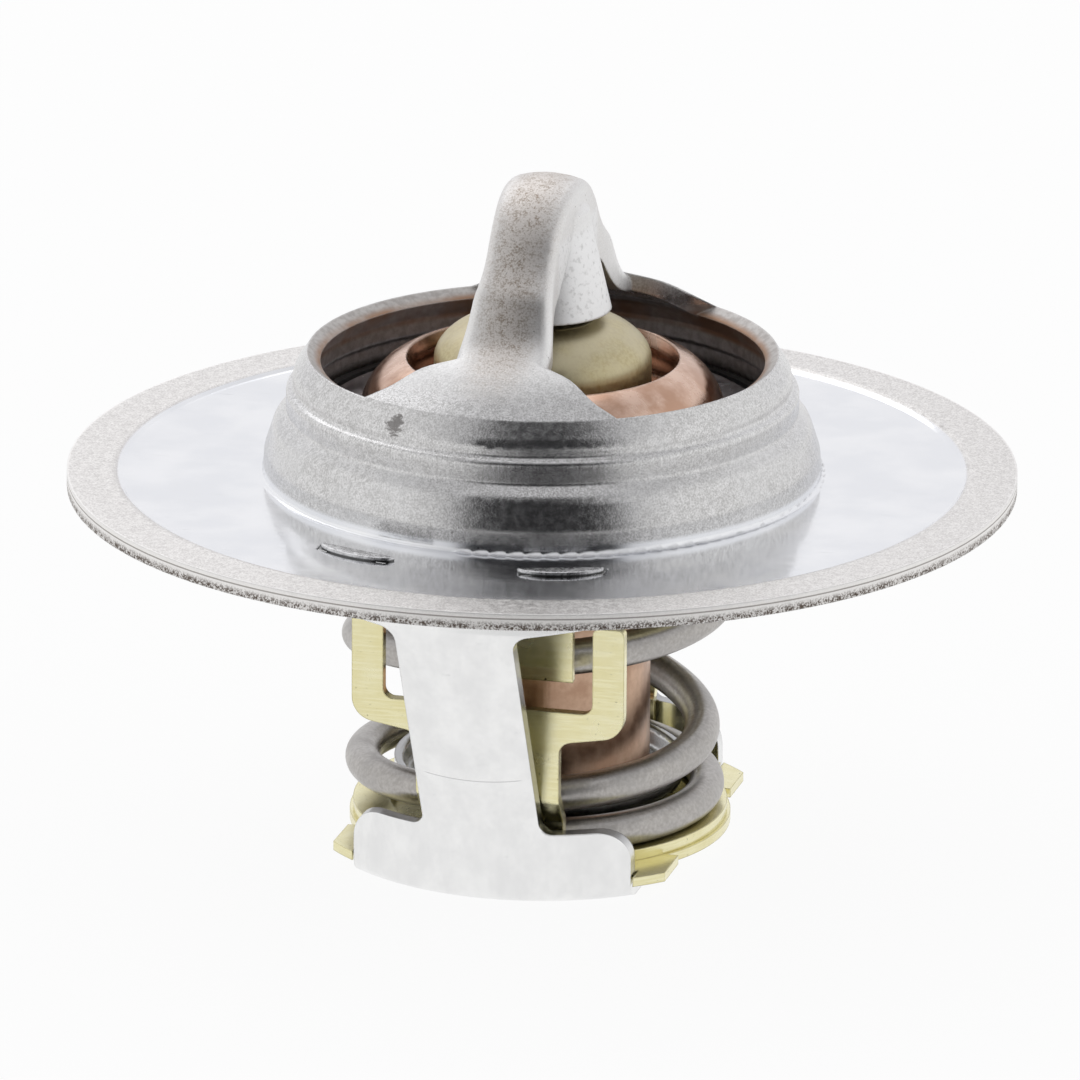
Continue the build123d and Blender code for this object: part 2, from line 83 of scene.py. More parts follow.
right = Vector((math.cos(azimuth), math.sin(azimuth), 0))
up = Vector((
    -math.sin(azimuth) * math.sin(elevation),
    math.cos(azimuth) * math.sin(elevation),
    math.cos(elevation),
))
back = right.cross(up)
target = Vector((0, 0, rim_top)) + aim_right * right + aim_up * up
camera_data = bpy.data.cameras.new("camera")
camera_data.sensor_width = 36
camera_data.lens = 403.9
camera = bpy.data.objects.new("camera", camera_data)
scene.collection.objects.link(camera)
camera.location = target + distance * back
turned_right = right * math.cos(roll) - up * math.sin(roll)
turned_up = right * math.sin(roll) + up * math.cos(roll)
camera.rotation_mode = "QUATERNION"
axes = [turned_right, turned_up, back]
turn = camera.matrix_world.to_3x3()
for row in range(3):
    turn[row] = [axis[row] for axis in axes]
camera.rotation_quaternion = turn.to_quaternion()
scene.camera = camera
print("camera at", [round(value, 3) for value in camera.location])

# %% [markdown]
# ## Light
# Bare metal shows its surroundings, so the surroundings are the light: a white tent that is
# brightest behind the part and at its sides, and open towards the camera. The opening is
# nearly black and gives the round collar its dark patches. The world's Generated coordinates
# are the direction of the ray, so a side of the tent is a step in the ray's turn to an axis.

# %% White tent
world = bpy.data.worlds.new("tent")
world.use_nodes = True
scene.world = world
tent = world.node_tree
sky = tent.nodes["Background"]
direction = tent.nodes.new("ShaderNodeTexCoord").outputs["Generated"]
front = Vector((math.sin(azimuth), -math.cos(azimuth), 0))


def towards(axis, low, high):
    """How far a ray's direction turns towards an axis, from 0 below low to 1 above high."""
    facing = tent.nodes.new("ShaderNodeVectorMath")
    facing.operation = "DOT_PRODUCT"
    facing.inputs[1].default_value = axis
    tent.links.new(direction, facing.inputs[0])
    reach = tent.nodes.new("ShaderNodeMapRange")
    reach.interpolation_type = "SMOOTHSTEP"
    reach.inputs["From Min"].default_value = low
    reach.inputs["From Max"].default_value = high
    tent.links.new(facing.outputs["Value"], reach.inputs["Value"])
    return reach.outputs["Result"]


def both(first, second):
    """The product of two steps, which is 1 only where both are."""
    product = tent.nodes.new("ShaderNodeMath")
    product.operation = "MULTIPLY"
    tent.links.new(first, product.inputs[0])
    tent.links.new(second, product.inputs[1])
    return product.outputs["Value"]


def tent_mix(factor, first, second):
    """Mixes two tent colours; each is a colour or a node's output."""
    mix = tent.nodes.new("ShaderNodeMix")
    mix.data_type = "RGBA"
    tent.links.new(factor, mix.inputs["Factor"])
    for socket, value in ((mix.inputs[6], first), (mix.inputs[7], second)):
        if isinstance(value, tuple):
            socket.default_value = (*value, 1)
        else:
            tent.links.new(value, socket)
    return mix.outputs[2]


front_cloth = (0.64, 0.64, 0.65)
back_cloth = (0.93, 0.93, 0.95)
side_cloth = (0.98, 0.98, 0.98)
cloth = tent_mix(towards(-front, 0.0, 0.8), front_cloth, back_cloth)
cloth = tent_mix(towards(right, 0.45, 0.9), cloth, side_cloth)
cloth = tent_mix(towards(-right, 0.45, 0.9), cloth, side_cloth)
print("the tent opens towards", [round(value, 2) for value in front])

# %% Opening of the tent
half_width = math.radians(33)
top_angle = math.radians(60)
left_side = math.sin(half_width) * front + math.cos(half_width) * right
right_side = math.sin(half_width) * front - math.cos(half_width) * right
upper_side = math.sin(top_angle) * front - math.cos(top_angle) * Vector((0, 0, 1))
opening = both(towards(left_side, -0.1, 0.1), towards(right_side, -0.1, 0.1))
opening = both(opening, towards(upper_side, -0.05, 0.08))
dark_cloth = (0.03, 0.03, 0.032)
cloth = tent_mix(opening, cloth, dark_cloth)
rays = tent.nodes.new("ShaderNodeLightPath")
seen = tent_mix(rays.outputs["Is Camera Ray"], cloth, (1.0, 1.0, 1.0))
tent.links.new(seen, sky.inputs["Color"])
sky.inputs["Strength"].default_value = 1.0
print("the opening is", round(math.degrees(2 * half_width)), "degrees wide")

# %% [markdown]
# One large soft box above and behind the part whitens the bridge's crest and lays the
# part's soft shadow on the floor.

# %% Soft box
lamp_data = bpy.data.lights.new("soft_box", "AREA")
lamp_data.size = 0.45
lamp_data.energy = 0.45
lamp = bpy.data.objects.new("soft_box", lamp_data)
scene.collection.objects.link(lamp)
lamp_height = 0.42
lamp_behind = 0.32
lamp_left = 0.12
lamp.location = lamp_height * Vector((0, 0, 1)) - lamp_behind * front - lamp_left * right
lamp.rotation_mode = "QUATERNION"
lamp.rotation_quaternion = lamp.location.to_track_quat("Z", "Y")
print("soft box at", [round(value, 2) for value in lamp.location])

# %% [markdown]
# ## The floor
# The floor is a white sheet. A camera ray sees it almost pure white but with the part's
# shadow, and a mirror ray sees the white sheet with a dark card that lies in front of the
# part. Such a card is what gives polished metal its dark stripes and its shape.

# %% Floor
floor_level = cad_box[0][2]
bpy.ops.object.select_all(action="DESELECT")
bpy.ops.mesh.primitive_plane_add(size=4, location=(0, 0, floor_level))
floor = bpy.context.object
floor.name = "floor"
bpy.ops.object.transform_apply(location=True, rotation=True, scale=True)
paper = bpy.data.materials.new("paper")
paper.use_nodes = True
sheet = paper.node_tree
sheet_shader = sheet.nodes["Principled BSDF"]
sheet_shader.inputs["Base Color"].default_value = (0.9, 0.9, 0.9, 1)
sheet_shader.inputs["Roughness"].default_value = 0.9
glow = sheet.nodes.new("ShaderNodeEmission")
glow.inputs["Color"].default_value = (1, 1, 1, 1)
seen_by = sheet.nodes.new("ShaderNodeLightPath")
either = sheet.nodes.new("ShaderNodeMath")
either.operation = "MAXIMUM"
sheet.links.new(seen_by.outputs["Is Camera Ray"], either.inputs[0])
sheet.links.new(seen_by.outputs["Is Glossy Ray"], either.inputs[1])
lift = sheet.nodes.new("ShaderNodeMath")
lift.operation = "MULTIPLY"
lift.inputs[1].default_value = 0.93
sheet.links.new(either.outputs["Value"], lift.inputs[0])
sheet_mix = sheet.nodes.new("ShaderNodeMixShader")
sheet.links.new(lift.outputs["Value"], sheet_mix.inputs["Fac"])
sheet.links.new(sheet_shader.outputs["BSDF"], sheet_mix.inputs[1])
sheet.links.new(glow.outputs["Emission"], sheet_mix.inputs[2])

card_place = sheet.nodes.new("ShaderNodeTexCoord")
card_turn = sheet.nodes.new("ShaderNodeMapping")
card_turn.inputs["Rotation"].default_value = (0, 0, -azimuth)
sheet.links.new(card_place.outputs["Object"], card_turn.inputs["Vector"])
card_axes = sheet.nodes.new("ShaderNodeSeparateXYZ")
sheet.links.new(card_turn.outputs["Vector"], card_axes.inputs["Vector"])


def card_side(value, low, high):
    """One soft side of the card: 0 below low and 1 above high, in metres on the floor."""
    side = sheet.nodes.new("ShaderNodeMapRange")
    side.interpolation_type = "SMOOTHSTEP"
    side.inputs["From Min"].default_value = low
    side.inputs["From Max"].default_value = high
    sheet.links.new(value, side.inputs["Value"])
    return side.outputs["Result"]


def sheet_product(first, second):
    """The product of two outputs of the floor's material."""
    product = sheet.nodes.new("ShaderNodeMath")
    product.operation = "MULTIPLY"
    sheet.links.new(first, product.inputs[0])
    sheet.links.new(second, product.inputs[1])
    return product.outputs["Value"]


card_left = -0.056
card_right = 0.070
card_back = -0.084
card_soft = 0.016
card = sheet_product(
    card_side(card_axes.outputs["X"], card_left, card_left + card_soft),
    card_side(card_axes.outputs["X"], card_right, card_right - card_soft),
)
card = sheet_product(
    card, card_side(card_axes.outputs["Y"], card_back, card_back - card_soft / 2)
)
card = sheet_product(card, seen_by.outputs["Is Glossy Ray"])
dark_card = sheet.nodes.new("ShaderNodeEmission")
dark_card.inputs["Color"].default_value = (0.025, 0.025, 0.027, 1)
card_mix = sheet.nodes.new("ShaderNodeMixShader")
sheet.links.new(card, card_mix.inputs["Fac"])
sheet.links.new(sheet_mix.outputs["Shader"], card_mix.inputs[1])
sheet.links.new(dark_card.outputs["Emission"], card_mix.inputs[2])
sheet.links.new(card_mix.outputs["Shader"], sheet.nodes["Material Output"].inputs["Surface"])
floor.data.materials.append(paper)
print("floor at", round(1000 * floor_level, 2), "mm")

# %% [markdown]
# ## How the finishes are built
# Every metal here is one Principled shader. What makes steel, brass and copper look real
# is not their colour but how colour, gloss and grain change over a few tenths of a
# millimetre. The next class reads a piece's place in millimetres from its Object
# coordinates, and has a few words for the patterns that all finishes share: grain, clouds,
# bands at a radius or height, and worn edges.

# %% A finish


class Finish:
    """A procedural material whose patterns are placed in the piece's own millimetres."""

    def __init__(self, name, metallic=1.0):
        self.material = bpy.data.materials.new(name)
        self.material.use_nodes = True
        self.tree = self.material.node_tree
        self.shader = self.tree.nodes["Principled BSDF"]
        self.shader.inputs["Metallic"].default_value = metallic
        coordinates = self.tree.nodes.new("ShaderNodeTexCoord")
        millimetres = self.tree.nodes.new("ShaderNodeMapping")
        millimetres.inputs["Scale"].default_value = (1000, 1000, 1000)
        self.tree.links.new(coordinates.outputs["Object"], millimetres.inputs["Vector"])
        self.place = millimetres.outputs["Vector"]
        self.normal = coordinates.outputs["Normal"]
        axes = self.tree.nodes.new("ShaderNodeSeparateXYZ")
        self.tree.links.new(self.place, axes.inputs["Vector"])
        self.x, self.y, self.z = axes.outputs
        flat = self.tree.nodes.new("ShaderNodeVectorMath")
        flat.operation = "MULTIPLY"
        flat.inputs[1].default_value = (1, 1, 0)
        self.tree.links.new(self.place, flat.inputs[0])
        length = self.tree.nodes.new("ShaderNodeVectorMath")
        length.operation = "LENGTH"
        self.tree.links.new(flat.outputs["Vector"], length.inputs[0])
        self.radius = length.outputs["Value"]

    def feed(self, socket, value):
        """Links an output to a socket, or sets a plain value on it."""
        if isinstance(value, bpy.types.NodeSocket):
            self.tree.links.new(value, socket)
        elif isinstance(value, tuple) and len(value) == 3 and socket.type == "RGBA":
            socket.default_value = (*value, 1)
        else:
            socket.default_value = value

    def math(self, operation, first, second=0.0):
        """A sum, product or other operation on two numbers."""
        node = self.tree.nodes.new("ShaderNodeMath")
        node.operation = operation
        self.feed(node.inputs[0], first)
        self.feed(node.inputs[1], second)
        return node.outputs["Value"]

    def grain(self, size, detail=3.0, stretch=(1, 1, 1), seed=0.0, sharp=0.5):
        """Noise whose blotches are about a size in millimetres, from 0 to 1."""
        scaled = self.tree.nodes.new("ShaderNodeMapping")
        scaled.inputs["Scale"].default_value = tuple(1 / (size * s) for s in stretch)
        scaled.inputs["Location"].default_value = (seed, 2 * seed, -seed)
        self.tree.links.new(self.place, scaled.inputs["Vector"])
        node = self.tree.nodes.new("ShaderNodeTexNoise")
        node.inputs["Scale"].default_value = 1.0
        node.inputs["Detail"].default_value = detail
        node.inputs["Roughness"].default_value = sharp
        self.tree.links.new(scaled.outputs["Vector"], node.inputs["Vector"])
        return node.outputs["Fac"]

    def rise(self, value, low, high, first=0.0, last=1.0):
        """Turns a value into first below low and last above high, with a soft step."""
        node = self.tree.nodes.new("ShaderNodeMapRange")
        node.interpolation_type = "SMOOTHSTEP"
        ends = {"From Min": low, "From Max": high, "To Min": first, "To Max": last}
        for name, number in ends.items():
            node.inputs[name].default_value = number
        self.tree.links.new(value, node.inputs["Value"])
        return node.outputs["Result"]

    def within(self, value, low, high, soft):
        """1 between low and high, falling to 0 over a soft distance on both sides."""
        enters = self.rise(value, low - soft, low)
        leaves = self.rise(value, high, high + soft, 1.0, 0.0)
        return self.math("MULTIPLY", enters, leaves)

    def blend(self, factor, first, second):
        """Mixes two colours by a factor."""
        node = self.tree.nodes.new("ShaderNodeMix")
        node.data_type = "RGBA"
        self.feed(node.inputs["Factor"], factor)
        self.feed(node.inputs[6], first)
        self.feed(node.inputs[7], second)
        return node.outputs[2]

    def level(self, factor, first, second):
        """Mixes two numbers by a factor."""
        node = self.tree.nodes.new("ShaderNodeMix")
        self.feed(node.inputs["Factor"], factor)
        self.feed(node.inputs[2], first)
        self.feed(node.inputs[3], second)
        return node.outputs[0]

    def soft_edges(self, reach):
        """Rounds the light over sharp edges, and returns 1 on an edge and 0 elsewhere."""
        self.bevel = self.tree.nodes.new("ShaderNodeBevel")
        self.bevel.samples = 4
        self.bevel.inputs["Radius"].default_value = reach / 1000
        geometry = self.tree.nodes.new("ShaderNodeNewGeometry")
        facing = self.tree.nodes.new("ShaderNodeVectorMath")
        facing.operation = "DOT_PRODUCT"
        self.tree.links.new(self.bevel.outputs["Normal"], facing.inputs[0])
        self.tree.links.new(geometry.outputs["Normal"], facing.inputs[1])
        return self.rise(facing.outputs["Value"], 0.8, 0.99, 1.0, 0.0)

    def near(self, point, low, high):
        """1 closer than low to a point in millimetres, falling to 0 at high."""
        offset = self.tree.nodes.new("ShaderNodeVectorMath")
        offset.operation = "DISTANCE"
        offset.inputs[1].default_value = point
        self.tree.links.new(self.place, offset.inputs[0])
        return self.rise(offset.outputs["Value"], low, high, 1.0, 0.0)

    def outward(self):
        """The radius times how squarely a face looks away from the Z axis, in millimetres."""
        facing = self.tree.nodes.new("ShaderNodeVectorMath")
        facing.operation = "DOT_PRODUCT"
        flat = self.tree.nodes.new("ShaderNodeVectorMath")
        flat.operation = "MULTIPLY"
        flat.inputs[1].default_value = (1, 1, 0)
        self.tree.links.new(self.normal, flat.inputs[0])
        self.tree.links.new(flat.outputs["Vector"], facing.inputs[0])
        self.tree.links.new(self.place, facing.inputs[1])
        return facing.outputs["Value"]

    def bump(self, height, depth):
        """Bumps the surface by a height pattern whose full range is a depth in millimetres."""
        node = self.tree.nodes.new("ShaderNodeBump")
        node.inputs["Strength"].default_value = 1.0
        node.inputs["Distance"].default_value = depth / 1000
        self.tree.links.new(height, node.inputs["Height"])
        if hasattr(self, "bevel"):
            self.tree.links.new(self.bevel.outputs["Normal"], node.inputs["Normal"])
        self.tree.links.new(node.outputs["Normal"], self.shader.inputs["Normal"])

    def done(self, colour, roughness):
        """Feeds the shader and returns the material."""
        self.feed(self.shader.inputs["Base Color"], colour)
        self.feed(self.shader.inputs["Roughness"], roughness)
        print("finish", self.material.name, len(self.tree.nodes), "nodes")
        return self.material


def dress(node, material):
    """Gives a CAD piece its finish."""
    for place in range(len(nodes[node].material_slots)):
        nodes[node].material_slots[place].material = material
    if not nodes[node].material_slots:
        nodes[node].data.materials.append(material)


# %% [markdown]
# ## Stamped steel of the flange
# One sheet of steel shows three finishes. The flat web is nearly a mirror, because the
# sheet is left as it was rolled. The rim band is coined, so it is matt. The collar and the
# bridge are drawn deep, which covers them in fine specks, brown along the bridge's middle.
# Zones by radius and height keep all three in one material, as on the real stamping.

# %% Zones of the stamping
steel = Finish("stamped_steel")
worn = steel.soft_edges(0.16)
fine = steel.grain(0.11, detail=3, sharp=0.6)
coarse = steel.grain(0.42, detail=4, sharp=0.6, seed=3)
clouds = steel.grain(4.0, detail=4, seed=7)
band_start = 24.45
collar_foot = 15.9
on_rim = steel.rise(steel.radius, band_start, band_start + 0.15)
inside_foot = steel.rise(steel.radius, collar_foot, collar_foot - 0.5)
on_collar = steel.math("MAXIMUM", inside_foot, steel.rise(steel.z, 0.6, 0.9))
specks = steel.math("ADD", fine, steel.math("MULTIPLY", coarse, 0.5))
inward = steel.rise(steel.outward(), -0.5, -1.5)
print("the rim band starts at a radius of", band_start, "mm")

# %% Drawn collar and bridge
drawn = steel.blend(steel.rise(specks, 0.52, 0.98), (0.46, 0.455, 0.45), (0.76, 0.755, 0.755))
drawn = steel.blend(steel.rise(clouds, 0.4, 0.7, 0.0, 0.4), drawn, (0.68, 0.68, 0.685))
bridge_foot = 7.6
bridge_clear = 10.5
middle = steel.rise(steel.math("ABSOLUTE", steel.x), 0.4, 2.6, 1.0, 0.0)
crest = steel.math("MULTIPLY", steel.rise(steel.z, bridge_foot, bridge_clear), middle)
# The bridge's flanks are painted near white: a painted reflection of the bright tent.
sides = steel.math("SUBTRACT", 1.0, middle)
painted_flank_light = steel.math("MULTIPLY", steel.rise(steel.z, bridge_foot + 0.6, bridge_clear), sides)
drawn = steel.blend(steel.math("MULTIPLY", painted_flank_light, 0.75), drawn, (0.93, 0.925, 0.92))
drawn = steel.blend(steel.math("MULTIPLY", crest, 0.7), drawn, (0.72, 0.67, 0.63))
brown = steel.math("ADD", steel.grain(0.1, detail=3, seed=13), steel.math("MULTIPLY", coarse, 0.8))
brown = steel.math("MULTIPLY", steel.math("MULTIPLY", steel.rise(brown, 0.80, 1.15), crest), 0.8)
drawn = steel.blend(brown, drawn, (0.27, 0.21, 0.155))
freckles = steel.rise(steel.grain(0.3, detail=3, seed=11), 0.70, 0.76, 0.0, 0.6)
drawn = steel.blend(freckles, drawn, (0.16, 0.14, 0.13))
# The nose is painted paler: partly its smoother metal, partly a painted highlight from the light
# above.
nose = steel.math("MULTIPLY", steel.rise(steel.radius, 5.0, 4.5), steel.rise(steel.z, 15.4, 14.8))
drawn = steel.blend(steel.math("MULTIPLY", nose, 0.65), drawn, (0.90, 0.90, 0.905))
grime = steel.math("MULTIPLY", nose, steel.rise(steel.grain(0.3, detail=5, seed=23), 0.52, 0.7))
drawn = steel.blend(steel.math("MULTIPLY", grime, 0.35), drawn, (0.36, 0.35, 0.34))
print("drawn metal is speckled, and brown along the middle of the bridge")

# %% [markdown]
# The collar also keeps marks of its own: fine upright scratches where the die's band rubbed
# it and a dark smudge of dried drawing oil. Inside, below its lip, it is painted darker,
# which is painted shade, with a brown band in it under the lip.

# %% Marks of the collar
scratches = steel.rise(steel.grain(0.1, detail=2, stretch=(1, 1, 12), seed=21), 0.5, 0.75)
rubbed_band = steel.math("MULTIPLY", steel.within(steel.z, 4.7, 5.5, 0.15), scratches)
drawn = steel.blend(steel.math("MULTIPLY", rubbed_band, 0.5), drawn, (0.92, 0.92, 0.92))
smudge_place = (-5.1, -13.2, 6.5)
smudge = steel.near(smudge_place, 0.1, 1.5)
ragged = steel.grain(0.3, detail=5, stretch=(2.6, 2.6, 1), sharp=0.75, seed=17)
smudge = steel.rise(steel.math("ADD", steel.math("MULTIPLY", smudge, 0.5), ragged), 0.82, 0.96)
drawn = steel.blend(steel.math("MULTIPLY", smudge, 0.75), drawn, (0.10, 0.09, 0.085))
# Inside the collar the steel is painted darker grey: painted shade. The brown band under the lip
# is mixed into it.
shade = steel.blend(steel.rise(coarse, 0.35, 0.65), (0.42, 0.395, 0.38), (0.55, 0.53, 0.515))
lip_band = steel.within(steel.z, 5.8, 6.9, 0.3)
lip_band = steel.math("MULTIPLY", lip_band, steel.rise(clouds, 0.35, 0.6, 0.4, 1.0))
shade = steel.blend(lip_band, shade, (0.36, 0.225, 0.15))
lip_top = 7.6
# The inner part of the lip's end face is painted dark too: painted shade.
lip_end = steel.rise(steel.radius, 13.42, 13.25)
lip_end = steel.math("MULTIPLY", lip_end, steel.rise(steel.radius, 12.3, 12.5))
below_lip = steel.rise(steel.z, lip_top, lip_top - 0.3)
inside = steel.math("MULTIPLY", steel.math("MAXIMUM", inward, lip_end), below_lip)
drawn = steel.blend(inside, drawn, shade)
print("marks: a rubbed band, a smudge and a browned band")

# %% Coined rim and rolled web
rim_colour = steel.blend(steel.rise(specks, 0.50, 0.98), (0.54, 0.52, 0.505), (0.82, 0.805, 0.79))
rim_edge = 27.43
# The rim's outer side is painted near white: a painted highlight, standing in for a rounded top
# edge that catches the light.
rim_side = steel.rise(steel.radius, rim_edge - 0.13, rim_edge)
rim_colour = steel.blend(steel.math("MULTIPLY", rim_side, 0.8), rim_colour, (1.0, 0.985, 0.97))
low_edge = steel.math("MULTIPLY", rim_side, steel.rise(steel.z, 0.1, -0.3))
low_edge = steel.math("MULTIPLY", low_edge, steel.rise(specks, 0.66, 0.84, 1.0, 0.15))
rim_colour = steel.blend(low_edge, rim_colour, (0.15, 0.12, 0.10))
groove = steel.math("MULTIPLY", rim_side, steel.within(steel.z, 0.17, 0.2, 0.05))
rim_colour = steel.blend(steel.math("MULTIPLY", groove, 0.7), rim_colour, (0.22, 0.19, 0.17))
scuffs = steel.grain(0.5, detail=4, stretch=(5, 0.6, 1), seed=5)
slot_inner = 18.72
slot_outer = 18.9
slot_near = 3.75
slot_far = 8.2
slot_shadow = steel.within(steel.radius, slot_inner, slot_outer, 0.04)
slot_span = steel.within(steel.math("ABSOLUTE", steel.x), slot_near, slot_far, 0.15)
slot_shadow = steel.math("MULTIPLY", slot_shadow, slot_span)
web_colour = steel.blend(steel.rise(clouds, 0.35, 0.7), (0.82, 0.83, 0.855), (0.88, 0.885, 0.90))
web_colour = steel.blend(steel.rise(scuffs, 0.66, 0.8, 0.0, 0.35), web_colour, (0.62, 0.62, 0.64))
web_colour = steel.blend(slot_shadow, web_colour, (0.06, 0.06, 0.06))
colour = steel.blend(on_collar, web_colour, drawn)
colour = steel.blend(on_rim, colour, rim_colour)
colour = steel.blend(steel.math("MULTIPLY", worn, 0.45), colour, (0.86, 0.855, 0.85))
web_gloss = steel.rise(steel.math("ADD", clouds, scuffs), 0.8, 1.3, 0.09, 0.17)
drawn_gloss = steel.rise(coarse, 0.35, 0.65, 0.21, 0.27)
drawn_gloss = steel.level(steel.rise(steel.z, 7.8, 9.2), drawn_gloss, 0.5)
drawn_gloss = steel.level(inside, drawn_gloss, 0.5)
gloss = steel.level(on_collar, web_gloss, drawn_gloss)
gloss = steel.level(on_rim, gloss, steel.rise(coarse, 0.35, 0.65, 0.36, 0.46))
gloss = steel.level(rim_side, gloss, 0.6)
rough_metal = steel.math("MAXIMUM", on_rim, on_collar)
steel.bump(steel.math("MULTIPLY", fine, steel.rise(rough_metal, 0, 1, 0.03, 1.0)), 0.008)
dress("flange_bridge", steel.done(colour, gloss))

# %% [markdown]
# ## Smooth steel of the legs
# The legs are stamped from bright strip. Their faces keep the roll's gloss with faint
# clouds, and their sheared edges are darker. Those edges could be picked by hand for a
# second material, but a face of the strip looks away from the Z axis and a sheared edge
# doesn't, so one test of the normal finds them all. The guide cup wears the same finish.

# %% Legs and guide cup
strip = Finish("smooth_steel")
strip.soft_edges(0.14)
sheared = strip.rise(strip.math("ABSOLUTE", strip.outward()), 9.0, 5.0)
sheared = strip.math("MULTIPLY", sheared, strip.rise(strip.z, -21.3, -21.0))
clouds = strip.grain(1.6, detail=6, stretch=(1, 1, 1.6), sharp=0.62)
lines = strip.grain(0.18, detail=2, stretch=(1, 1, 30), seed=4)
colour = strip.blend(strip.rise(clouds, 0.3, 0.75), (0.80, 0.80, 0.80), (0.91, 0.91, 0.905))
scars = strip.rise(strip.grain(0.35, detail=3, stretch=(3, 3, 0.8), seed=8), 0.70, 0.78, 0.0, 0.45)
colour = strip.blend(scars, colour, (0.60, 0.60, 0.61))
arc_level = -13.83
sag = strip.math("MULTIPLY", strip.math("MULTIPLY", strip.x, strip.x), 0.03)
arc = strip.within(strip.math("SUBTRACT", strip.z, sag), arc_level, arc_level + 0.04, 0.03)
arc = strip.math("MULTIPLY", arc, strip.rise(strip.math("ABSOLUTE", strip.x), 3.0, 2.6))
colour = strip.blend(strip.math("MULTIPLY", arc, 0.5), colour, (0.35, 0.35, 0.36))
colour = strip.blend(strip.math("MULTIPLY", sheared, 0.8), colour, (0.26, 0.26, 0.265))
strip.bump(lines, 0.003)
smooth_steel = strip.done(colour, strip.rise(clouds, 0.3, 0.7, 0.17, 0.23))
for node in ("front_leg", "rear_leg", "guide_cup"):
    dress(node, smooth_steel)

# %% [markdown]
# ## The peened ends of the legs
# Each leg stands in two slots of the web, and the ends of its stakes are peened over the
# web. From above they are thin crescents, straight towards the axis and bulging outwards.
# Half of a flattened disc with a bevelled top edge gives one, and four copies are turned
# into place about the axis.

# %% Peened steel
peened = Finish("peened_steel")
beaten = peened.grain(0.3, detail=4, sharp=0.6, seed=5)
colour = peened.blend(peened.rise(beaten, 0.35, 0.65), (0.44, 0.44, 0.45), (0.70, 0.70, 0.71))
# Their low edge is painted near black: a painted contact shadow where the crescent meets the web.
colour = peened.blend(peened.rise(peened.z, 0.36, 0.28), colour, (0.10, 0.10, 0.10))
peened.bump(beaten, 0.02)
peened_steel = peened.done(colour, peened.rise(beaten, 0.3, 0.7, 0.2, 0.4))

# %% One peened end
peened_half = 0.00245
peened_bulge = 0.0010
peened_chord = 0.0189
peened_low = 0.0001
peened_height = 0.00038
peened_bevel = 0.00009


def peened_end(name, turn):
    """A crescent of steel over a slot, turned about the Z axis from the -Y side."""
    bpy.ops.object.select_all(action="DESELECT")
    bpy.ops.mesh.primitive_circle_add(vertices=48, radius=1, fill_type="NGON")
    end = bpy.context.object
    end.name = name
    bpy.ops.object.mode_set(mode="EDIT")
    bpy.ops.mesh.select_all(action="SELECT")
    bpy.ops.transform.resize(value=(peened_half, peened_bulge, 1))
    bpy.ops.mesh.bisect(plane_co=(0, 0, 0), plane_no=(0, 1, 0), clear_outer=True)
    bpy.ops.mesh.select_all(action="SELECT")
    rise = (0, 0, peened_height)
    bpy.ops.mesh.extrude_region_move(TRANSFORM_OT_translate={"value": rise})
    bpy.ops.mesh.bevel(offset=peened_bevel, segments=3, affect="EDGES")
    bpy.ops.mesh.select_all(action="SELECT")
    bpy.ops.mesh.normals_make_consistent(inside=False)
    bpy.ops.transform.translate(value=(0, -peened_chord, peened_low))
    bpy.ops.transform.rotate(value=turn, orient_axis="Z", center_override=(0, 0, 0))
    bpy.ops.object.mode_set(mode="OBJECT")
    bpy.ops.object.shade_smooth_by_angle(angle=math.radians(40))
    end.data.materials.append(peened_steel)
    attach(end, "housing")
    return end


# %% Four peened ends
half_turn = math.radians(18.25)
for number, side in enumerate((0, math.pi)):
    for mirror, sign in enumerate((-1, 1)):
        end = peened_end(f"peened_end_{2 * number + mirror + 1}", side + sign * half_turn)
        nearest = 1000 * min(vertex.co.xy.length for vertex in end.data.vertices)
        lowest = 1000 * min(vertex.co.z for vertex in end.data.vertices)
        print(end.name, "starts at radius", round(nearest, 2), "and z", round(lowest, 2), "mm")

# %% [markdown]
# ## Gilt steel of the latch cage and plates
# A thin yellow passivation makes these pieces pale gold. The strip's rolling lines run
# along it, and tiny dark pits dot its faces. All three pieces share one material, and its
# patterns are placed in millimetres, so lines and pits keep their size from piece to piece.

# %% Latch cage, lower plate and latch plate
gilt = Finish("gilt_steel")
rubbed = gilt.soft_edges(0.12)
rolled = gilt.grain(0.16, detail=3, stretch=(14, 14, 1), seed=2)
clouds = gilt.grain(2.4, detail=4, seed=5)
pits = gilt.rise(gilt.grain(0.24, detail=3, sharp=0.6, seed=9), 0.68, 0.74)
colour = gilt.blend(gilt.rise(clouds, 0.35, 0.7), (0.76, 0.70, 0.40), (0.84, 0.79, 0.50))
colour = gilt.blend(gilt.rise(rolled, 0.4, 0.7, 0.0, 0.35), colour, (0.93, 0.90, 0.66))
colour = gilt.blend(gilt.math("MULTIPLY", rubbed, 0.55), colour, (0.36, 0.31, 0.14))
colour = gilt.blend(pits, colour, (0.05, 0.045, 0.03))
gilt.bump(rolled, 0.004)
gilt_steel = gilt.done(colour, gilt.rise(clouds, 0.3, 0.7, 0.2, 0.28))
for node in ("latch_cage", "lower_plate", "latch_plate"):
    dress(node, gilt_steel)

# %% [markdown]
# ## Spring wire
# Spring wire is drawn and then tempered, which leaves a brown-grey satin skin. The spring
# also shortens as the valve opens, which a rigid piece can't do. It could be wound anew with
# a closer pitch at each pose; here a copy of its mesh, with data of its own, stands in for
# the CAD piece.

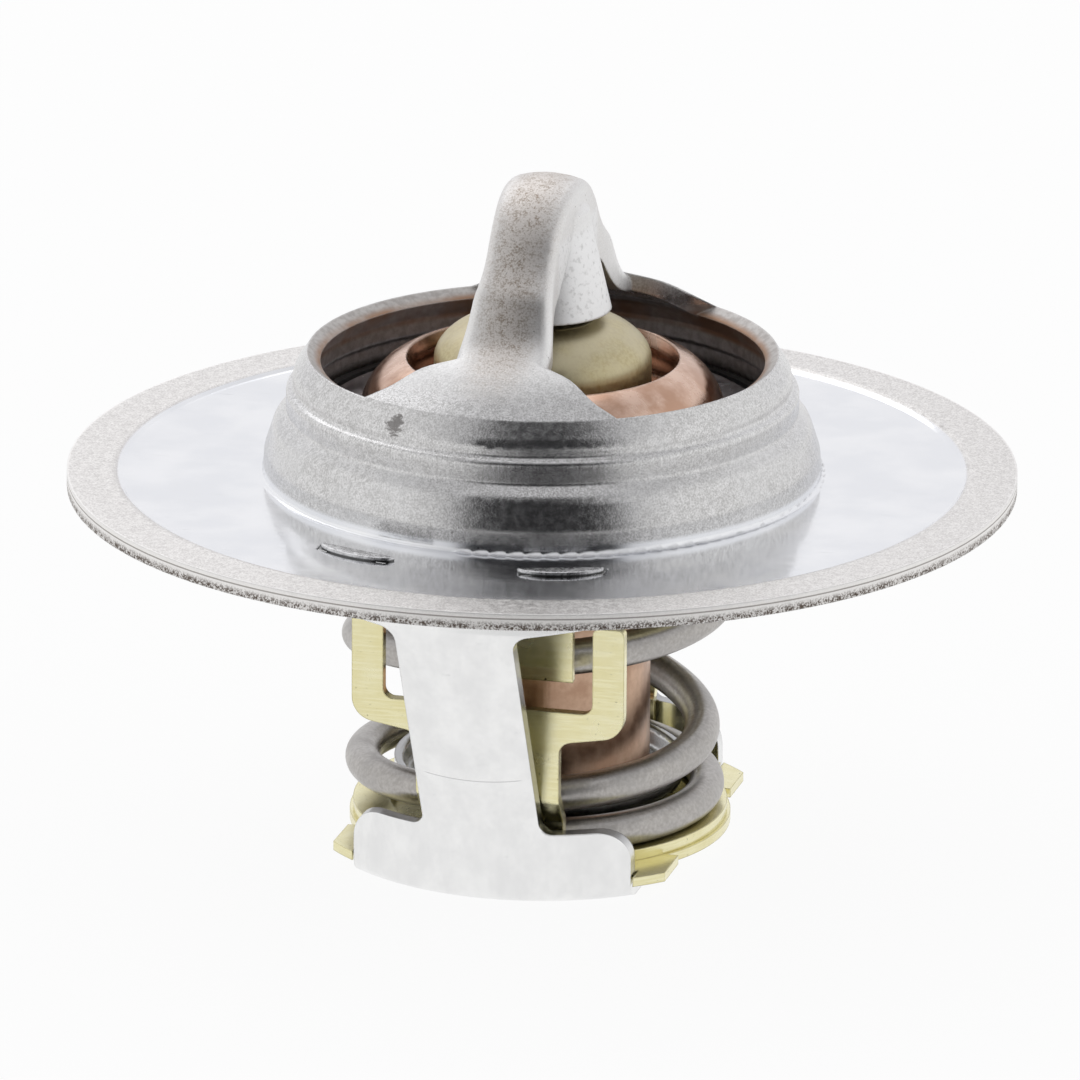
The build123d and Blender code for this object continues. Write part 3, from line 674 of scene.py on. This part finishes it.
# %% Main spring
wire = Finish("spring_steel")
skin = wire.grain(0.22, detail=4, sharp=0.6)
clouds = wire.grain(2.0, detail=3, seed=6)
colour = wire.blend(wire.rise(skin, 0.3, 0.7), (0.38, 0.36, 0.34), (0.50, 0.48, 0.46))
colour = wire.blend(wire.rise(clouds, 0.4, 0.7, 0.0, 0.4), colour, (0.48, 0.465, 0.455))
wire.bump(skin, 0.006)
spring_skin = wire.done(colour, wire.rise(clouds, 0.3, 0.7, 0.30, 0.44))
dress("main_spring", spring_skin)

# %% A copy of the spring
coil_spring = bpy.data.objects.new("coil_spring", nodes["main_spring"].data.copy())
scene.collection.objects.link(coil_spring)
coil_spring.data.materials.clear()
coil_spring.data.materials.append(spring_skin)
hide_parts("main_spring")
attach(coil_spring, "housing")
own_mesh(coil_spring)

# %% [markdown]
# ## Ground steel of the piston
# The piston is a bright pin, with fine rings round it from the grinding wheel and a few
# stains from the coolant. The rings could be modelled, but they are a tenth of a millimetre
# apart, so a grain that is stretched sideways and fed to the bump is enough.

# %% Piston
ground = Finish("piston_steel")
rings = ground.grain(0.1, detail=2, stretch=(30, 30, 1))
stains = ground.grain(1.2, detail=4, seed=2)
colour = ground.blend(ground.rise(stains, 0.4, 0.65), (0.62, 0.62, 0.63), (0.80, 0.80, 0.80))
ground.bump(rings, 0.005)
dress("piston", ground.done(colour, ground.rise(stains, 0.3, 0.7, 0.2, 0.32)))

# %% [markdown]
# ## The valve disc
# The disc is plated and lies hidden from the light, so it keeps a cool lavender tint.
# Clouds change its colour and gloss, pits give it a bump, and its sharp edges are rounded
# in the light alone, which costs no mesh.

# %% Valve disc
plated = Finish("plated_steel")
plated.soft_edges(0.2)
clouds = plated.grain(1.8, detail=4, seed=8)
pits = plated.grain(0.2, detail=3, seed=1)
colour = plated.blend(plated.rise(clouds, 0.35, 0.7), (0.66, 0.66, 0.72), (0.84, 0.84, 0.90))
plated.bump(pits, 0.006)
dress("valve_disc", plated.done(colour, plated.rise(clouds, 0.3, 0.7, 0.16, 0.28)))

# %% [markdown]
# ## Copper
# The hub is spun bright, so it stays pink and glossy. The wax cup gets hot in the coolant's
# stream and has browned to a satin skin. Both finishes have the same plan: tarnish changes
# colour and gloss together, and fine lines run round the hub but along the cup.

# %% Hub and wax cup
bright = Finish("bright_copper")
bright_edge = bright.soft_edges(0.25)
spun = bright.grain(0.12, detail=3, stretch=(14, 14, 1), seed=3)
tarnish = bright.grain(2.2, detail=5, sharp=0.6, seed=4)
colour = bright.blend(bright.rise(tarnish, 0.38, 0.68), (0.50, 0.31, 0.22), (0.72, 0.52, 0.42))
colour = bright.blend(bright.math("MULTIPLY", bright_edge, 0.4), colour, (0.86, 0.70, 0.60))
bright.bump(spun, 0.006)
dress("valve_hub", bright.done(colour, bright.rise(tarnish, 0.3, 0.7, 0.16, 0.3)))

brown = Finish("brown_copper")
drawn_lines = brown.grain(0.2, detail=3, stretch=(1, 1, 12), seed=3)
tarnish = brown.grain(1.8, detail=5, sharp=0.6, seed=9)
colour = brown.blend(brown.rise(tarnish, 0.36, 0.68), (0.40, 0.25, 0.17), (0.62, 0.43, 0.31))
brown.bump(drawn_lines, 0.008)
dress("wax_cup", brown.done(colour, brown.rise(tarnish, 0.3, 0.7, 0.28, 0.42)))

# %% [markdown]
# ## Dull brass of the guide cap
# The cap is brass gone dull. A plain gold would look new, so a fine fog changes both its
# colour and its gloss, and paler clouds drift through it. Towards the crown it is painted
# greyer in patches: painted light on the top of the dome.

# %% Guide cap
brass = Finish("dull_brass")
brass.soft_edges(0.2)
fog = brass.grain(0.25, detail=5, sharp=0.65)
clouds = brass.grain(2.0, detail=4, seed=4)
colour = brass.blend(brass.rise(fog, 0.35, 0.65), (0.46, 0.38, 0.20), (0.60, 0.53, 0.31))
colour = brass.blend(brass.rise(clouds, 0.4, 0.7, 0.0, 0.5), colour, (0.66, 0.59, 0.38))
patches = brass.rise(clouds, 0.25, 0.6, 0.15, 0.45)
# Towards the crown the cap is painted greyer and paler in patches: painted light.
crown_painted_light = brass.math("MULTIPLY", brass.rise(brass.z, 6.0, 9.0), patches)
colour = brass.blend(crown_painted_light, colour, (0.56, 0.52, 0.42))
brass.bump(fog, 0.006)
dress("guide_cap", brass.done(colour, brass.rise(fog, 0.3, 0.7, 0.36, 0.5)))

# %% [markdown]
# ## Rubber and wax
# Only a thread of the valve seal shows, but the section views show the boot, the small
# piston seal and the wax, so they get real finishes too. They are no metals, so their
# shaders start with metallic at zero.

# %% Rubber and wax
rubber = Finish("seal_rubber", metallic=0.0)
mould = rubber.grain(0.3, detail=4, sharp=0.6)
colour = rubber.blend(rubber.rise(mould, 0.35, 0.65), (0.018, 0.018, 0.019), (0.05, 0.05, 0.05))
rubber.bump(mould, 0.01)
seal_rubber = rubber.done(colour, rubber.rise(mould, 0.3, 0.7, 0.42, 0.62))
for node in ("valve_seal", "boot", "piston_seal"):
    dress(node, seal_rubber)

wax = Finish("wax", metallic=0.0)
flakes = wax.grain(0.15, detail=3, sharp=0.7)
colour = wax.blend(wax.rise(flakes, 0.4, 0.62), (0.45, 0.27, 0.15), (0.72, 0.52, 0.34))
wax.bump(flakes, 0.01)
dress("wax_charge", wax.done(colour, wax.rise(flakes, 0.3, 0.7, 0.45, 0.6)))

# %% [markdown]
# ## Finish
# The colours are shown as they are.

# %% Show the colours as they are
scene.view_settings.view_transform = "Standard"
